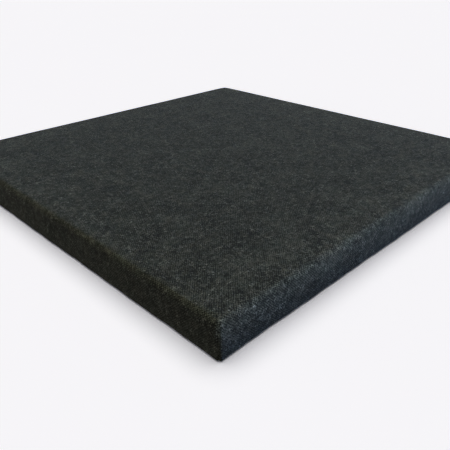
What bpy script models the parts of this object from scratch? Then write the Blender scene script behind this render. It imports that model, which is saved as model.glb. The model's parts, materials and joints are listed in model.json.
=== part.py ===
"""Fabric-wrapped acoustic panel, 600 mm square, lying face up with its back to the floor.

It is put together as the real one is. A softwood frame is half lapped at its corners, and a
plywood gusset is let into grooves across each inside corner. A mineral wool slab fills the
frame in front of the gussets, with a thin scrim on its back. A sheet of wadding softens the
front, and one piece of fabric is pulled over it, round the sides and onto the frame's back.
Behind the wool the frame is left hollow, and there a D-ring swings in a folded steel strap on
each upper gusset. Four felt pads carry the panel.

Metres. +Z comes out of the front face, +Y points to the edge that is the top when the panel
hangs, and the origin is the middle of the plane that the pads stand on. Left is -X.
"""

import math

import bmesh
import bpy
from mathutils import Matrix, Vector

# Overall size, over the fabric
PANEL_WIDTH = 0.600
PANEL_HEIGHT = 0.600

# Gap that pieces which touch keep between their faces
CLEARANCE = 0.0003

# Fabric and wadding
FABRIC_THICKNESS = 0.0008
FRONT_EDGE_RADIUS = 0.008
CORNER_RADIUS = 0.006
BACK_EDGE_RADIUS = 0.0015
WADDING_THICKNESS = 0.002
WADDING_ROLL = 0.0025  # how far the wadding rolls down past the frame's front face
BARE_TIMBER = 0.003  # left bare inside the fabric's raw edge on the frame's back

# Timber frame and its gussets
RAIL_WIDTH = 0.019
GUSSET_THICKNESS = 0.006
GUSSET_LEG = 0.105
GUSSET_TONGUE = 0.005  # how deep a gusset sits in the frame's grooves
GUSSET_CLIP = 0.008  # cut off the square corner, clear of the glue

# Core
WOOL_THICKNESS = 0.025
SCRIM_THICKNESS = 0.0006

# Lap screws, countersunk, driven from the back
LAP_SCREW_SHANK = 0.004
LAP_SCREW_HEAD = 0.008
LAP_SCREW_RIM = 0.0004
LAP_SCREW_SINK = 0.0003  # head below the frame's back face
LAP_SCREW_COVER = 0.008  # timber left in front of the tip

# Hangers: a D-ring in a folded strap, on each upper gusset
RING_WIRE = 0.0024
RING_INSIDE_WIDTH = 0.015
RING_REACH = 0.012  # from the bar's axis to the wire's axis at the top of the D
RING_BEND = 0.002  # radius of the wire's axis at the ends of the bar
STRAP_GAUGE = 0.001
STRAP_WIDTH = 0.012
STRAP_LENGTH = 0.035  # from the bar's axis to the tail
STRAP_HOLE_TO_TAIL = 0.007
STRAP_HOLE_PITCH = 0.011
HANGER_INSET = 0.030  # from the stile's inner face to the strap's middle
HANGER_DROP = 0.022  # from the top rail's inner face to the bar's axis
HANGER_MARGIN = 0.0005  # the hanger stays this far inside the frame's back face

# Pan head screws of the straps
STRAP_SCREW_SHANK = 0.003
STRAP_SCREW_HEAD = 0.006
STRAP_SCREW_HEAD_HEIGHT = 0.002
STRAP_SCREW_COVER = 0.0005  # plywood left in front of the tip

# Felt pads
PAD_THICKNESS = 0.0015
PAD_MARGIN = 0.00075  # fabric left bare each side of a pad
PAD_EDGE = 0.0003

# Fineness of the round shapes
EDGE_SEGMENTS = 5
TURNED_STEPS = 20
HEAD_ARC_STEPS = 4
BEND_STEPS = 3
RING_ARC_STEPS = 14
LOOP_ARC_STEPS = 10
OVERCUT = 0.005  # cutters reach this far past what they cut

# Heights, from the floor up
RETURN_Z = PAD_THICKNESS + CLEARANCE
FRAME_BACK_Z = RETURN_Z + FABRIC_THICKNESS + CLEARANCE
LOOP_RADIUS = RING_WIRE / 2 + CLEARANCE + STRAP_GAUGE
HANGER_RECESS = HANGER_MARGIN + 2 * LOOP_RADIUS + CLEARANCE
GUSSET_BACK_Z = FRAME_BACK_Z + HANGER_RECESS
GUSSET_FRONT_Z = GUSSET_BACK_Z + GUSSET_THICKNESS
SCRIM_BACK_Z = GUSSET_FRONT_Z + CLEARANCE
WOOL_BACK_Z = SCRIM_BACK_Z + SCRIM_THICKNESS + CLEARANCE
FRAME_FRONT_Z = WOOL_BACK_Z + WOOL_THICKNESS
LAP_Z = (FRAME_BACK_Z + FRAME_FRONT_Z) / 2
WADDING_FRONT_Z = FRAME_FRONT_Z + CLEARANCE + WADDING_THICKNESS
FABRIC_INSIDE_Z = WADDING_FRONT_Z + CLEARANCE
FRONT_Z = FABRIC_INSIDE_Z + FABRIC_THICKNESS

# Half widths and half heights of what lies inside the fabric
SKIN = FABRIC_THICKNESS + CLEARANCE
FRAME_HALF = Vector((PANEL_WIDTH / 2 - SKIN, PANEL_HEIGHT / 2 - SKIN))
INNER_HALF = FRAME_HALF - Vector((RAIL_WIDTH, RAIL_WIDTH))
FABRIC_RETURN = SKIN + RAIL_WIDTH - BARE_TIMBER

SIDES = {"left": -1, "right": 1}
ENDS = {"bottom": -1, "top": 1}

for old in list(bpy.data.objects):
    bpy.data.objects.remove(old, do_unlink=True)

panel = bpy.data.collections.new("fabric_acoustic_panel")
cutters = bpy.data.collections.new("cutters")
bpy.context.scene.collection.children.link(panel)
bpy.context.scene.collection.children.link(cutters)


def material(name, colour, roughness, metallic=0.0):
    made = bpy.data.materials.new(name)
    made.use_nodes = True
    shader = made.node_tree.nodes["Principled BSDF"]
    shader.inputs["Base Color"].default_value = (*colour, 1.0)
    shader.inputs["Roughness"].default_value = roughness
    shader.inputs["Metallic"].default_value = metallic
    return made


FABRIC = material("charcoal_fabric", (0.035, 0.038, 0.036), 0.95)
WADDING = material("white_wadding", (0.78, 0.77, 0.74), 0.95)
WOOL = material("mineral_wool", (0.33, 0.27, 0.13), 1.0)
SCRIM = material("black_scrim", (0.02, 0.02, 0.021), 0.9)
SOFTWOOD = material("planed_softwood", (0.62, 0.43, 0.24), 0.6)
PLYWOOD = material("birch_plywood", (0.66, 0.50, 0.32), 0.55)
ZINC = material("zinc_plated_steel", (0.62, 0.62, 0.60), 0.35, 1.0)
FELT = material("black_felt", (0.025, 0.025, 0.027), 1.0)


def add(name, mesh, finish=None, place=(0, 0, 0)):
    """A node of the panel, or a cutter where there is no finish."""
    obj = bpy.data.objects.new(name, mesh)
    obj.location = place
    if finish:
        mesh.materials.clear()
        mesh.materials.append(finish)
        panel.objects.link(obj)
    else:
        cutters.objects.link(obj)
        obj.hide_render = True
        obj.display_type = "WIRE"
    return obj


def evaluated_mesh(obj):
    """The object's shape as a plain mesh in its own space, with the caps of a curve welded on."""
    bpy.context.view_layer.update()
    graph = bpy.context.evaluated_depsgraph_get()
    mesh = bpy.data.meshes.new_from_object(obj.evaluated_get(graph))
    shape = bmesh.new()
    shape.from_mesh(mesh)
    bmesh.ops.remove_doubles(shape, verts=shape.verts, dist=1e-6)
    shape.to_mesh(mesh)
    shape.free()
    bpy.data.objects.remove(obj, do_unlink=True)
    return mesh


def box_mesh(name, low, high):
    low, high = Vector(low), Vector(high)
    mesh = bpy.data.meshes.new(name)
    shape = bmesh.new()
    place = Matrix.Translation((low + high) / 2) @ Matrix.Diagonal((*(high - low), 1))
    bmesh.ops.create_cube(shape, size=1.0, matrix=place)
    shape.to_mesh(mesh)
    shape.free()
    return mesh


def rounded_slab(name, half, low, high, front_radius, corner_radius, back_radius=0.0):
    """A slab with its front edges, upright corners and back edges rounded by radii of their own."""
    mesh = box_mesh(name, (-half.x, -half.y, low), (half.x, half.y, high))
    shape = bmesh.new()
    shape.from_mesh(mesh)
    weight = shape.edges.layers.float.new("bevel_weight_edge")
    for edge in shape.edges:
        heights = sorted(corner.co.z for corner in edge.verts)
        if heights[1] - heights[0] > (high - low) / 2:
            edge[weight] = corner_radius / front_radius
        elif heights[0] > (high + low) / 2:
            edge[weight] = 1.0
        else:
            edge[weight] = back_radius / front_radius
    shape.to_mesh(mesh)
    shape.free()
    blank = add(name + "_blank", mesh)
    rounding = blank.modifiers.new("rounded edges", "BEVEL")
    rounding.limit_method = "WEIGHT"
    rounding.width = front_radius
    rounding.segments = EDGE_SEGMENTS
    return evaluated_mesh(blank)


def flat_outline(name, outlines, thickness):
    """A plate with the given outlines in its own XY plane, the first one round the others."""
    curve = bpy.data.curves.new(name, "CURVE")
    curve.dimensions = "2D"
    curve.fill_mode = "BOTH"
    curve.extrude = thickness / 2
    for outline in outlines:
        spline = curve.splines.new("POLY")
        spline.points.add(len(outline) - 1)
        for point, (x, y) in zip(spline.points, outline):
            point.co = (x, y, 0, 1)
        spline.use_cyclic_u = True
    return evaluated_mesh(add(name + "_curve", curve))


def turned(name, profile, place, finish=None):
    """A round piece from its half section, listed from the top down as (radius, height)."""
    mesh = bpy.data.meshes.new(name)
    points = [(radius, 0, height) for radius, height in profile]
    mesh.from_pydata(points, [(i, i + 1) for i in range(len(points) - 1)], [])
    obj = add(name, mesh, finish, place)
    turn = obj.modifiers.new("turned", "SCREW")
    turn.steps = turn.render_steps = TURNED_STEPS
    turn.use_merge_vertices = True
    turn.merge_threshold = 1e-5
    return obj


def drill(name, diameter, low, high, place):
    """A cutter for a round hole with a gap round what goes in it, past both ends of low to high."""
    radius = diameter / 2 + CLEARANCE
    bottom, top = low - OVERCUT, high + OVERCUT
    return turned(name, [(0, top), (radius, top), (radius, bottom), (0, bottom)], (*place, 0))


def boolean(obj, other, operation="DIFFERENCE"):
    cut = obj.modifiers.new(other.name, "BOOLEAN")
    cut.operation = operation
    cut.object = other


def arc(centre, radius, start, end, steps):
    """Points along an arc, with its ends, from angle start to angle end in degrees."""
    for i in range(steps + 1):
        angle = math.radians(start + (end - start) * i / steps)
        yield (centre[0] + radius * math.cos(angle), centre[1] + radius * math.sin(angle))


def corners():
    """Each corner's name with the signs of its X and Y."""
    for end, up in ENDS.items():
        for side, across in SIDES.items():
            yield f"{end}_{side}", across, up


def fabric_cover():
    """One skin over the front and sides, with its raw edge on the frame's back."""
    half = Vector((PANEL_WIDTH / 2, PANEL_HEIGHT / 2))
    outside = rounded_slab(
        "fabric_cover", half, RETURN_Z, FRONT_Z, FRONT_EDGE_RADIUS, CORNER_RADIUS, BACK_EDGE_RADIUS
    )
    cover = add("fabric_cover", outside, FABRIC)
    inside = rounded_slab(
        "fabric_inside",
        half - Vector((FABRIC_THICKNESS, FABRIC_THICKNESS)),
        RETURN_Z + FABRIC_THICKNESS,
        FABRIC_INSIDE_Z,
        FRONT_EDGE_RADIUS - FABRIC_THICKNESS,
        CORNER_RADIUS - FABRIC_THICKNESS,
        BACK_EDGE_RADIUS - FABRIC_THICKNESS,
    )
    boolean(cover, add("fabric_inside", inside))
    opening = half - Vector((FABRIC_RETURN, FABRIC_RETURN))
    back = box_mesh(
        "back_opening",
        (-opening.x, -opening.y, RETURN_Z - OVERCUT),
        (opening.x, opening.y, FRAME_BACK_Z + OVERCUT),
    )
    boolean(cover, add("back_opening", back))


def frame_envelope(name, grow=0.0):
    """The outside of the finished frame, past its back, grown by a gap if it has to clear something."""
    return rounded_slab(
        name,
        FRAME_HALF + Vector((grow, grow)),
        FRAME_BACK_Z - OVERCUT,
        FRAME_FRONT_Z + grow,
        FRONT_EDGE_RADIUS - SKIN + grow,
        CORNER_RADIUS - SKIN + grow,
    )


def wadding_sheet():
    """A thin cushion over the front that tapers out as it rolls over the frame's rounded edge."""
    low = FRAME_FRONT_Z - WADDING_ROLL
    outside = rounded_slab(
        "wadding_sheet",
        FRAME_HALF,
        FRAME_BACK_Z,
        WADDING_FRONT_Z,
        FRONT_EDGE_RADIUS - SKIN,
        CORNER_RADIUS - SKIN,
    )
    sheet = add("wadding_sheet", outside, WADDING)
    boolean(sheet, add("wadding_underside", frame_envelope("wadding_underside", CLEARANCE)))
    reach = FRAME_HALF + Vector((OVERCUT, OVERCUT))
    skirt = box_mesh(
        "wadding_trim", (-reach.x, -reach.y, FRAME_BACK_Z - OVERCUT), (reach.x, reach.y, low)
    )
    boolean(sheet, add("wadding_trim", skirt))


def core():
    """The wool slab, cut to fill the frame, and the scrim on its back."""
    half = INNER_HALF - Vector((CLEARANCE, CLEARANCE))
    wool = box_mesh(
        "mineral_wool_core", (-half.x, -half.y, WOOL_BACK_Z), (half.x, half.y, FRAME_FRONT_Z)
    )
    add("mineral_wool_core", wool, WOOL)
    scrim = box_mesh(
        "rear_scrim",
        (-half.x, -half.y, SCRIM_BACK_Z),
        (half.x, half.y, SCRIM_BACK_Z + SCRIM_THICKNESS),
    )
    add("rear_scrim", scrim, SCRIM)


def gusset_outline(across, up, grow=0.0):
    """A gusset seen from the front: a triangle with tongues past the frame's inner faces."""
    leg, tongue, clip = GUSSET_LEG + grow, GUSSET_TONGUE + grow, GUSSET_CLIP - grow
    inward = [(-tongue, clip), (-tongue, leg), (leg, -tongue), (clip, -tongue)]
    return [(across * (INNER_HALF.x - u), up * (INNER_HALF.y - v)) for u, v in inward]


def bar_place(across):
    """The middle of a hanger's bar, on the axis that its ring swings about."""
    return Vector(
        (
            across * (INNER_HALF.x - HANGER_INSET),
            INNER_HALF.y - HANGER_DROP,
            GUSSET_BACK_Z - CLEARANCE - LOOP_RADIUS,
        )
    )


def strap_hole_places(across):
    """Where the two screws of the hanger on one side go, as (x, y)."""
    bar = bar_place(across)
    lower = bar.y - STRAP_LENGTH + STRAP_HOLE_TO_TAIL
    return {"upper": (bar.x, lower + STRAP_HOLE_PITCH), "lower": (bar.x, lower)}


def gussets():
    """The four gussets, and the cutters that make their grooves in the frame."""
    middle = (GUSSET_BACK_Z + GUSSET_FRONT_Z) / 2
    seats = {}
    for name, across, up in corners():
        plate = flat_outline("gusset", [gusset_outline(across, up)], GUSSET_THICKNESS)
        gusset = add("gusset_" + name, plate, PLYWOOD, (0, 0, middle))
        groove = flat_outline(
            "groove", [gusset_outline(across, up, CLEARANCE)], GUSSET_THICKNESS + 2 * CLEARANCE
        )
        seats[name] = add("groove_" + name, groove, place=(0, 0, middle))
        if up > 0:
            for level, place in strap_hole_places(across).items():
                label = f"gusset_hole_{name}_{level}"
                hole = drill(label, STRAP_SCREW_SHANK, GUSSET_BACK_Z, GUSSET_FRONT_Z, place)
                boolean(gusset, hole)
    return seats


def lap_screw_profile(grow=0.0):
    """Half section of a lap screw, tip up, with the gap round it where it is a hole."""
    shank = LAP_SCREW_SHANK / 2 + grow
    head = LAP_SCREW_HEAD / 2 + grow
    face = FRAME_BACK_Z + LAP_SCREW_SINK
    tip = FRAME_FRONT_Z - LAP_SCREW_COVER + grow
    rim = face + LAP_SCREW_RIM
    outer = face - (OVERCUT if grow else 0)
    return [
        (0, tip),
        (shank, tip - LAP_SCREW_SHANK / 2),
        (shank, rim + head - shank),
        (head, rim),
        (head, outer),
        (0, outer),
    ]


def lap_screws():
    """The four lap screws, and the cutters for their holes."""
    inset = Vector((RAIL_WIDTH / 2, RAIL_WIDTH / 2))
    holes = {}
    for name, across, up in corners():
        place = (across * (FRAME_HALF - inset).x, up * (FRAME_HALF - inset).y, 0)
        turned("lap_screw_" + name, lap_screw_profile(), place, ZINC)
        holes[name] = turned("lap_hole_" + name, lap_screw_profile(CLEARANCE), place)
    return holes


def frame(seats, holes):
    """Two rails and two stiles: the rails keep their back half at each lap, the stiles their front half."""
    envelope = add("frame_envelope", frame_envelope("frame_envelope"))
    reach = FRAME_HALF + Vector((OVERCUT, OVERCUT))
    shoulder = INNER_HALF - Vector((CLEARANCE, CLEARANCE))
    lap = CLEARANCE / 2

    for end, up in ENDS.items():
        inner, outer = sorted((up * INNER_HALF.y, up * reach.y))
        bar = box_mesh(
            end + "_rail", (-reach.x, inner, FRAME_BACK_Z), (reach.x, outer, FRAME_FRONT_Z + OVERCUT)
        )
        rail = add(end + "_rail", bar, SOFTWOOD)
        for side, across in SIDES.items():
            near, far = sorted((across * shoulder.x, across * (reach.x + OVERCUT)))
            notch = box_mesh(
                f"{end}_rail_lap_{side}",
                (near, inner - OVERCUT, LAP_Z - lap),
                (far, outer + OVERCUT, FRAME_FRONT_Z + 2 * OVERCUT),
            )
            boolean(rail, add(f"{end}_rail_lap_{side}", notch))
            boolean(rail, seats[f"{end}_{side}"])
            boolean(rail, holes[f"{end}_{side}"])
        boolean(rail, envelope, "INTERSECT")

    for side, across in SIDES.items():
        inner, outer = sorted((across * INNER_HALF.x, across * reach.x))
        bar = box_mesh(
            side + "_stile",
            (inner, -reach.y, FRAME_BACK_Z),
            (outer, reach.y, FRAME_FRONT_Z + OVERCUT),
        )
        stile = add(side + "_stile", bar, SOFTWOOD)
        for end, up in ENDS.items():
            near, far = sorted((up * shoulder.y, up * (reach.y + OVERCUT)))
            notch = box_mesh(
                f"{side}_stile_lap_{end}",
                (inner - OVERCUT, near, FRAME_BACK_Z - OVERCUT),
                (outer + OVERCUT, far, LAP_Z + lap),
            )
            boolean(stile, add(f"{side}_stile_lap_{end}", notch))
            boolean(stile, seats[f"{end}_{side}"])
            boolean(stile, holes[f"{end}_{side}"])
        boolean(stile, envelope, "INTERSECT")


def strap_side_outlines():
    """The strap from its side, as (along, out): two plies that part round the ring's bar, and the bore."""
    plies = 2 * STRAP_GAUGE
    leave = 135  # degrees round the loop where the outer ply leaves it, sloping at 45 degrees
    middle = (0, LOOP_RADIUS)
    loop = list(arc(middle, LOOP_RADIUS, -90, leave, LOOP_ARC_STEPS))
    last = loop[-1]
    outline = [(-STRAP_LENGTH, 0), *loop, (last[0] - (last[1] - plies), plies), (-STRAP_LENGTH, plies)]
    bore = list(arc(middle, LOOP_RADIUS - STRAP_GAUGE, 0, 360, TURNED_STEPS))[:-1]
    return [outline, bore]


def strap_plan_outline():
    """The strap from its face, longer than its loop at the top and round at its tail."""
    half = STRAP_WIDTH / 2
    tail = arc((0, half - STRAP_LENGTH), half, 180, 360, LOOP_ARC_STEPS)
    return [(half, 2 * LOOP_RADIUS), (-half, 2 * LOOP_RADIUS), *tail]


def ring_points():
    """The D-ring's wire axis, flat and pointing along +Y from the middle of its bar."""
    half = RING_INSIDE_WIDTH / 2 + RING_WIRE / 2
    bow = RING_REACH - half
    yield from arc((half - RING_BEND, RING_BEND), RING_BEND, -90, 0, BEND_STEPS)
    yield from arc((0, bow), half, 0, 180, RING_ARC_STEPS)
    yield from arc((RING_BEND - half, RING_BEND), RING_BEND, 180, 270, BEND_STEPS)


def d_ring(name, place):
    """A closed loop of wire with its origin on the axis that it swings about."""
    wire = bpy.data.curves.new(name, "CURVE")
    wire.dimensions = "3D"
    wire.bevel_depth = RING_WIRE / 2
    wire.bevel_resolution = 2
    points = list(ring_points())
    spline = wire.splines.new("POLY")
    spline.points.add(len(points) - 1)
    for point, (x, y) in zip(spline.points, points):
        point.co = (x, y, 0, 1)
    spline.use_cyclic_u = True
    add(name, wire, ZINC, place)


def strap_screw_profile():
    """Half section of a pan head screw, tip up, with its head on the strap."""
    shank = STRAP_SCREW_SHANK / 2
    head = STRAP_SCREW_HEAD / 2
    seat = GUSSET_BACK_Z - 2 * CLEARANCE - 2 * STRAP_GAUGE
    tip = GUSSET_FRONT_Z - STRAP_SCREW_COVER
    rim = seat - STRAP_SCREW_HEAD_HEIGHT / 2
    dome = [
        (head * math.cos(turn), rim - STRAP_SCREW_HEAD_HEIGHT / 2 * math.sin(turn))
        for turn in (math.pi / 2 * i / HEAD_ARC_STEPS for i in range(HEAD_ARC_STEPS))
    ]
    point = [(0, tip), (shank, tip - shank), (shank, seat), (head, seat)]
    return [*point, *dome, (0, seat - STRAP_SCREW_HEAD_HEIGHT)]


def hangers():
    """On each upper gusset, a strap with its loop upwards, its two screws and its D-ring."""
    along_y_out_back = Matrix(((0, 0, -1), (1, 0, 0), (0, -1, 0))).to_4x4()
    for side, across in SIDES.items():
        bar = bar_place(across)
        blank = flat_outline("hanger_strap", strap_side_outlines(), STRAP_WIDTH + 2 * OVERCUT)
        blank.transform(Matrix.Translation((0, 0, LOOP_RADIUS)) @ along_y_out_back)
        strap = add("hanger_strap_" + side, blank, ZINC, bar)
        plan = flat_outline("strap_plan", [strap_plan_outline()], 4 * LOOP_RADIUS)
        boolean(strap, add("strap_plan_" + side, plan, place=bar), "INTERSECT")
        for level, place in strap_hole_places(across).items():
            low, high = bar.z - LOOP_RADIUS, bar.z + LOOP_RADIUS
            boolean(strap, drill(f"strap_hole_{side}_{level}", STRAP_SCREW_SHANK, low, high, place))
            turned(f"strap_screw_{side}_{level}", strap_screw_profile(), (*place, 0), ZINC)
        d_ring("d_ring_" + side, bar)


def wall_pads():
    """Felt pads on the fabric's return, one at each back corner."""
    band = FABRIC_RETURN - BACK_EDGE_RADIUS
    radius = band / 2 - PAD_MARGIN
    inset = BACK_EDGE_RADIUS + band / 2
    profile = [
        (0, PAD_THICKNESS),
        (radius - PAD_EDGE, PAD_THICKNESS),
        (radius, PAD_THICKNESS - PAD_EDGE),
        (radius, PAD_EDGE),
        (radius - PAD_EDGE, 0),
        (0, 0),
    ]
    for name, across, up in corners():
        place = (across * (PANEL_WIDTH / 2 - inset), up * (PANEL_HEIGHT / 2 - inset), 0)
        turned("wall_pad_" + name, profile, place, FELT)


fabric_cover()
wadding_sheet()
core()
frame(gussets(), lap_screws())
hangers()
wall_pads()
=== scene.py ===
import json
import math

import bpy
import bmesh
import numpy as np
from mathutils import Matrix, Quaternion, Vector


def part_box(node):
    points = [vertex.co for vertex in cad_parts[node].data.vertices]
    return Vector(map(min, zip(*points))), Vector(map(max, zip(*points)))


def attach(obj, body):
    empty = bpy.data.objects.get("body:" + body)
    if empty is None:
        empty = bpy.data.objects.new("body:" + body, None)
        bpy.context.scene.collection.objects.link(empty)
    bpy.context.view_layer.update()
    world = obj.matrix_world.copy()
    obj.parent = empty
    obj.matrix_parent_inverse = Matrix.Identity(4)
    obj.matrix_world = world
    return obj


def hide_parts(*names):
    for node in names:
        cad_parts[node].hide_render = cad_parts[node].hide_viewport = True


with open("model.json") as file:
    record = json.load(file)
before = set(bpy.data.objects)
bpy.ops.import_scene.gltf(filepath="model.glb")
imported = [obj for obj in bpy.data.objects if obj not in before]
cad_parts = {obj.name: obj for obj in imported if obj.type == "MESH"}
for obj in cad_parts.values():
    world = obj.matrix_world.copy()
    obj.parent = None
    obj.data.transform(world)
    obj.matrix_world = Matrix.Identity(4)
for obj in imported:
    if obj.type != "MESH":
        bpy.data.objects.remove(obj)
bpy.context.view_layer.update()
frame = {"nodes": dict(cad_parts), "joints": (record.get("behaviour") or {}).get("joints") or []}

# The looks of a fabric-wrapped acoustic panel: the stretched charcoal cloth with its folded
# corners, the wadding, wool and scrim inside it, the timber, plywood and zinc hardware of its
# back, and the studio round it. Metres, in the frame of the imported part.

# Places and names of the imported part
COVER_LOW, COVER_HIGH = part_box("fabric_cover")
WADDING_LOW, WADDING_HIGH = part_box("wadding_sheet")
WOOL_LOW, WOOL_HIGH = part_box("mineral_wool_core")
SCRIM_LOW, SCRIM_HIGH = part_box("rear_scrim")
GUSSET_LOW, GUSSET_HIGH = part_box("gusset_top_left")
BARS = {joint["child"]: Vector(joint["pos_m"]) for joint in frame["joints"]}
SIDES = ("left", "right")
CORNERS = [f"{end}_{side}" for end in ("bottom", "top") for side in SIDES]

# Cloth
CLOTH_THICKNESS = 0.0008
FRONT_RADIUS = 0.008
CORNER_RADIUS = 0.0045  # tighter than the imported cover's 6 mm, as in the photograph
BACK_RADIUS = 0.0015
RETURN_WIDTH = 0.0171
SIDE_LEAN = math.radians(3.0)  # the side bows out by this much at its top and bottom
THREAD_PITCH = 0.00146
YARN_DARK, YARN_FLECK = (0.0029, 0.0033, 0.0032), (0.135, 0.142, 0.136)
YARN_PALE, YARN_PALE_GREEN = (0.043, 0.0455, 0.0391), (0.038, 0.0440, 0.0384)
STAPLE_PITCH = 0.042
STAPLE_INSET = 0.0098  # from the outside of the cloth to the staples' middle

# Hardware
WIRE = 0.0024
RING_INSIDE_WIDTH = 0.015
RING_REACH = 0.012
STRAP_GAUGE = 0.001
STRAP_WIDTH = 0.012
STRAP_LENGTH = 0.035
LOOP_CLEARANCE = 0.0003
LOOP_RADIUS = WIRE / 2 + LOOP_CLEARANCE + STRAP_GAUGE


# Tools for node trees. An input is a value, or a socket to link from.

def give(node, inputs):
    for key, value in dict(inputs).items():
        socket = node.inputs[key]
        if isinstance(value, bpy.types.NodeSocket):
            node.id_data.links.new(value, socket)
        else:
            socket.default_value = (*value, 1.0) if socket.type == "RGBA" else value


def add_node(kind, inputs=(), tree=None, **settings):
    """A new node, in the same tree as the sockets that it is given where none is named."""
    inputs = dict(inputs)
    if tree is None:
        tree = next(v.id_data for v in inputs.values() if isinstance(v, bpy.types.NodeSocket))
    node = tree.nodes.new(kind)
    for name, value in settings.items():
        setattr(node, name, value)
    give(node, inputs)
    return node


def result(kind, inputs=(), tree=None, **settings):
    """The first output of a new node."""
    return add_node(kind, inputs, tree, **settings).outputs[0]


def placed(group, inputs):
    return add_node("ShaderNodeGroup", inputs, node_tree=group).outputs


def maths(operation, *values, clamp=False):
    return result("ShaderNodeMath", enumerate(values), operation=operation, use_clamp=clamp)


def times(first, second):
    return maths("MULTIPLY", first, second)


def times_plus(first, second, third):
    return maths("MULTIPLY_ADD", first, second, third)


def vectors(operation, *values, out=0):
    return add_node("ShaderNodeVectorMath", enumerate(values), operation=operation).outputs[out]


def parts(vector):
    return add_node("ShaderNodeSeparateXYZ", {0: vector}).outputs


def joined(x, y, z):
    return result("ShaderNodeCombineXYZ", {0: x, 1: y, 2: z})


def mapped(vector, scale=(1.0, 1.0, 1.0), turn=0.0):
    inputs = {"Vector": vector, "Rotation": (0.0, 0.0, turn), "Scale": scale}
    return result("ShaderNodeMapping", inputs)


def noise(vector, scale, detail=2.0, roughness=0.5, out="Fac"):
    inputs = {"Vector": vector, "Scale": scale, "Detail": detail, "Roughness": roughness}
    return add_node("ShaderNodeTexNoise", inputs).outputs[out]


def spread(value, low, high, to_low=0.0, to_high=1.0):
    """A value from low to high, eased onto another range."""
    inputs = enumerate((value, low, high, to_low, to_high))
    return result("ShaderNodeMapRange", inputs, interpolation_type="SMOOTHSTEP")


def mix(share, first, second, mode="MIX"):
    """Two colours, mixed by a share or by another of the mix modes."""
    inputs = {0: share, 6: first, 7: second}
    return add_node("ShaderNodeMix", inputs, data_type="RGBA", blend_type=mode).outputs[2]


def shade(colour, value):
    """A colour times a number."""
    grey = result("ShaderNodeCombineColor", {0: value, 1: value, 2: value})
    return mix(1.0, colour, grey, "MULTIPLY")


def new_group(name, inputs, use="Shader"):
    """Inputs of a new node group, each by its kind or by the number that it starts at."""
    made = bpy.data.node_groups.new(name, use + "NodeTree")
    for label, value in inputs.items():
        kind = value if isinstance(value, str) else "Float"
        socket = made.interface.new_socket(name=label, socket_type="NodeSocket" + kind)
        if not isinstance(value, str):
            socket.default_value = value
    return made.nodes.new("NodeGroupInput").outputs


def ended(outputs, kind="Float"):
    """The group that these sockets are in, with its outputs."""
    made = next(iter(outputs.values())).id_data
    for label in outputs:
        made.interface.new_socket(
            name=label, in_out="OUTPUT", socket_type="NodeSocket" + kind
        )
    add_node("NodeGroupOutput", outputs)
    return made


# Effects that more than one finish uses

def make_plain_weave():
    """Threads over and under each other, by the cloth's own flat coordinates in metres. Each
    is round across and rises and falls along its length, and the higher of the two shows."""
    given = new_group(
        "plain_weave", {"Flat": "Vector", "Pitch": 0.001, "Streak": 60.0, "Wander": 0.0003}
    )
    drift = vectors("SUBTRACT", noise(given["Flat"], 75.0, 1.0, out="Color"), (0.5, 0.5, 0.5))
    flat = parts(vectors("MULTIPLY_ADD", drift, given["Wander"], given["Flat"]))
    threads = [maths("DIVIDE", flat[axis], given["Pitch"]) for axis in (0, 1)]
    number = [maths("FLOOR", thread) for thread in threads]
    waves = [maths("SINE", times(thread, math.pi)) for thread in threads]

    tops, slubs, tone_places, fibre_places = [], [], [], []
    for own, other, first_up in ((0, 1, 1.0), (1, 0, -1.0)):
        row = times_plus(number[own], 5.91, own)
        place = joined(row, times(flat[other], 62.0), 20.0 + own)
        slub = spread(noise(place, 1.0, 1.0), 0.62, 0.74)
        off_middle = maths("SUBTRACT", maths("FRACT", threads[own]), 0.5)
        inside = times_plus(times(off_middle, off_middle), -4.0, 1.0)
        crown = times(maths("SQRT", inside), times_plus(slub, 0.22, 0.62))
        rise = times(maths("SIGN", waves[own]), waves[other])
        tops.append(times_plus(rise, 0.42 * first_up, crown))
        slubs.append(slub)
        row = times_plus(number[own], 3.37, own)
        tone_places.append(joined(row, times(flat[other], given["Streak"]), 4.0 * own))
        twisted = times_plus(threads[own], 5.0, times(threads[other], 1.5))
        shift = times_plus(number[own], 1.7, 9.0 + own)
        fibre_places.append(joined(twisted, times(threads[other], 1.1), shift))

    second_over = maths("GREATER_THAN", tops[1], tops[0])

    def upper(pair, kind):
        first, out = {"FLOAT": (2, 0), "VECTOR": (4, 1)}[kind]
        inputs = {0: second_over, first: pair[0], first + 1: pair[1]}
        return add_node("ShaderNodeMix", inputs, data_type=kind).outputs[out]

    return ended({
        "Thread Tone": noise(upper(tone_places, "VECTOR"), 1.0, 2.0, 0.7),
        "Fibre": noise(upper(fibre_places, "VECTOR"), 1.0, 2.0, 0.65),
        "Slub": upper(slubs, "FLOAT"),
        "Weft Shows": second_over,
        "Height": maths("MAXIMUM", *tops),
    })


def make_matted_fibre():
    """Fibres that lie all ways, as in felt, wadding, wool and scrim."""
    given = new_group("matted_fibre", {"Vector": "Vector", "Fineness": 900.0, "Clump": 90.0})
    vector, clump = given["Vector"], given["Clump"]
    bent = noise(vector, clump, 1.0, out="Color")
    pushed = vectors("MULTIPLY_ADD", bent, (0.012, 0.012, 0.012), vector)
    lying = (
        noise(mapped(pushed, stretch), given["Fineness"], 2.0, 0.6)
        for stretch in ((1.0, 0.09, 1.0), (0.09, 1.0, 1.0))
    )
    fibre = maths("MAXIMUM", *lying)
    clumps = noise(vector, clump, 3.0, 0.6)
    height = times_plus(clumps, 0.8, fibre)
    return ended({"Fibre": spread(fibre, 0.42, 0.78), "Clumps": clumps, "Height": height})


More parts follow.
